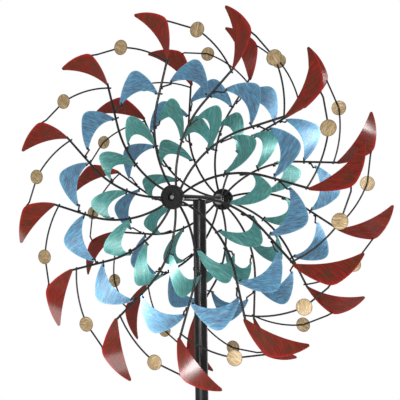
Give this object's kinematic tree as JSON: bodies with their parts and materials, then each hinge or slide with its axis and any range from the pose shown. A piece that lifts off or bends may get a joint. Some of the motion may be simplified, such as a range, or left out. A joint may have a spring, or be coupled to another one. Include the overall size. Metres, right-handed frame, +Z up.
{
  "type": "wind spinner",
  "caption": "Garden wind spinner with two counter-turning wheels of coloured crescent vanes and discs on a swivelling head, on a pole with a ground fork.",
  "frame": {"origin": "on the pole's axis at soil level, the underside of the step plate; the spike and prongs are below it", "axes": "+Z up along the pole, Y along the axle with the front wheel at -Y, +X to the right seen from the front"},
  "size_m": [0.6168, 0.218, 2.0084],
  "materials": {
    "black_paint": "satin black powder coat",
    "red_paint": "translucent metallic red over brushed steel",
    "blue_paint": "translucent metallic blue over brushed steel",
    "green_paint": "translucent metallic teal over brushed steel",
    "disc_brass": "brushed and lacquered, pale gold",
    "bearing_steel": "ground bearing steel",
    "zinc_steel": "bright zinc plated",
    "white_plastic": "acetal, as moulded"
  },
  "bodies": {
    "stand": {"centre_spike": "black_paint", "side_prongs": "black_paint", "step_plate": "black_paint", "lower_pole": "black_paint", "upper_pole": "black_paint", "pivot_rod": "zinc_steel", "clamp_screws": "zinc_steel"},
    "head": {"head_tube": "black_paint", "axle_tube": "black_paint", "axle_stud": "zinc_steel", "axle_washers": "zinc_steel", "axle_nuts": "black_paint", "bearing_inner_rings": "bearing_steel", "bearing_spacers": "zinc_steel", "pivot_seat": "zinc_steel", "pivot_bushing": "white_plastic"},
    "front_wheel": {"front_red_vanes": "red_paint", "front_blue_vanes": "blue_paint", "front_green_vanes": "green_paint", "front_gold_discs": "disc_brass", "front_disc_wires": "black_paint", "front_vane_ties": "black_paint", "front_hub_housing": "black_paint", "front_hub_cap": "black_paint", "front_bearing_outer_rings": "bearing_steel", "front_bearing_balls": "bearing_steel", "front_arm_01": "black_paint", "front_arm_02": "black_paint", "front_arm_03": "black_paint", "front_arm_04": "black_paint", "front_arm_05": "black_paint", "front_arm_06": "black_paint", "front_arm_07": "black_paint", "front_arm_08": "black_paint", "front_arm_09": "black_paint", "front_arm_10": "black_paint", "front_arm_11": "black_paint", "front_arm_12": "black_paint"},
    "rear_wheel": {"rear_red_vanes": "red_paint", "rear_blue_vanes": "blue_paint", "rear_green_vanes": "green_paint", "rear_gold_discs": "disc_brass", "rear_disc_wires": "black_paint", "rear_vane_ties": "black_paint", "rear_hub_housing": "black_paint", "rear_hub_cap": "black_paint", "rear_bearing_outer_rings": "bearing_steel", "rear_bearing_balls": "bearing_steel", "rear_arm_01": "black_paint", "rear_arm_02": "black_paint", "rear_arm_03": "black_paint", "rear_arm_04": "black_paint", "rear_arm_05": "black_paint", "rear_arm_06": "black_paint", "rear_arm_07": "black_paint", "rear_arm_08": "black_paint", "rear_arm_09": "black_paint", "rear_arm_10": "black_paint", "rear_arm_11": "black_paint", "rear_arm_12": "black_paint"}
  },
  "joints": [
    {"name": "head_yaw", "type": "hinge", "parent": "stand", "child": "head", "pos_m": [0, 0, 1.45], "axis": [0, 0, 1], "continuous": true},
    {"name": "front_spin", "type": "hinge", "parent": "head", "child": "front_wheel", "pos_m": [0, -0.1, 1.5], "axis": [0, 1, 0], "continuous": true},
    {"name": "rear_spin", "type": "hinge", "parent": "head", "child": "rear_wheel", "pos_m": [0, 0.1, 1.5], "axis": [0, 1, 0], "continuous": true}
  ]
}
